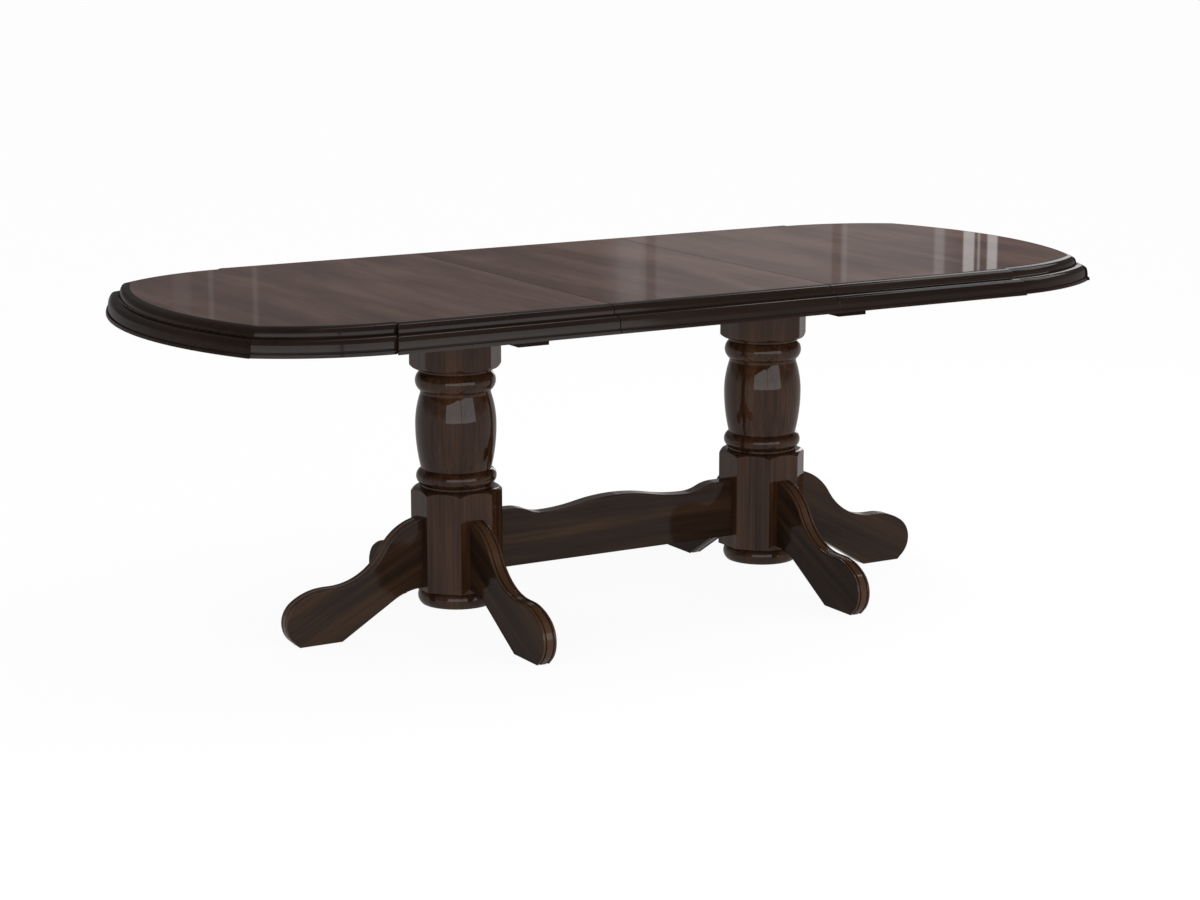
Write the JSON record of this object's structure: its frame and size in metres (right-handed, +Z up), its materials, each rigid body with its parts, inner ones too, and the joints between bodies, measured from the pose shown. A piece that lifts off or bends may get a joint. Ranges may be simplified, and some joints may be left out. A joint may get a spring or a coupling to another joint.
{
  "type": "extending table",
  "caption": "Extending dining table with bowed ends on turned pedestals with scrolled legs and a wavy stretcher; its top slides apart for a lift-out leaf.",
  "frame": {"origin": "on the floor, under the middle of the table top", "axes": "+X along the table, -Y towards the front that the picture shows, +Z up"},
  "size_m": [2.2666, 0.9798, 0.76],
  "materials": {
    "top_veneer": "glossy dark brown lacquer over veneer with the grain across the table",
    "edge_moulding": "glossy near-black brown lacquer",
    "column_wood": "glossy dark brown lacquer, upright grain",
    "leg_wood": "glossy dark brown lacquer, grain along the leg",
    "stretcher_wood": "glossy dark brown lacquer, level grain",
    "frame_wood": "matt dark stain",
    "dowel_wood": "bare wood",
    "fixing_steel": "plain zinc"
  },
  "bodies": {
    "base": {"left_column": "column_wood", "left_bearer": "frame_wood", "left_outer_leg": "leg_wood", "left_front_leg": "leg_wood", "left_back_leg": "leg_wood", "right_column": "column_wood", "right_bearer": "frame_wood", "right_outer_leg": "leg_wood", "right_front_leg": "leg_wood", "right_back_leg": "leg_wood", "stretcher": "stretcher_wood", "front_guide_rail": "frame_wood", "back_guide_rail": "frame_wood", "leg_dowels": "dowel_wood", "stretcher_dowels": "dowel_wood", "bearer_bolts": "fixing_steel", "rail_screws": "fixing_steel"},
    "left_half": {"left_panel": "top_veneer", "left_end_moulding": "edge_moulding", "left_front_corner_moulding": "edge_moulding", "left_back_corner_moulding": "edge_moulding", "left_front_side_moulding": "edge_moulding", "left_back_side_moulding": "edge_moulding", "left_front_runner": "frame_wood", "left_back_runner": "frame_wood", "left_stop_block": "frame_wood", "left_half_screws": "fixing_steel"},
    "right_half": {"right_panel": "top_veneer", "right_end_moulding": "edge_moulding", "right_front_corner_moulding": "edge_moulding", "right_back_corner_moulding": "edge_moulding", "right_front_side_moulding": "edge_moulding", "right_back_side_moulding": "edge_moulding", "right_front_runner": "frame_wood", "right_back_runner": "frame_wood", "right_stop_block": "frame_wood", "right_half_screws": "fixing_steel"},
    "leaf": {"leaf_panel": "top_veneer", "leaf_front_moulding": "edge_moulding", "leaf_back_moulding": "edge_moulding", "leaf_left_batten": "frame_wood", "leaf_right_batten": "frame_wood", "leaf_screws": "fixing_steel"}
  },
  "joints": [
    {"name": "left_slide", "type": "slide", "parent": "base", "child": "left_half", "axis": [-1, 0, 0], "range_m": [0, 0.06]},
    {"name": "right_slide", "type": "slide", "parent": "base", "child": "right_half", "axis": [1, 0, 0], "range_m": [0, 0.06]},
    {"name": "leaf_lift", "type": "slide", "parent": "base", "child": "leaf", "axis": [0, 0, 1], "range_m": [0, 0.3]}
  ]
}
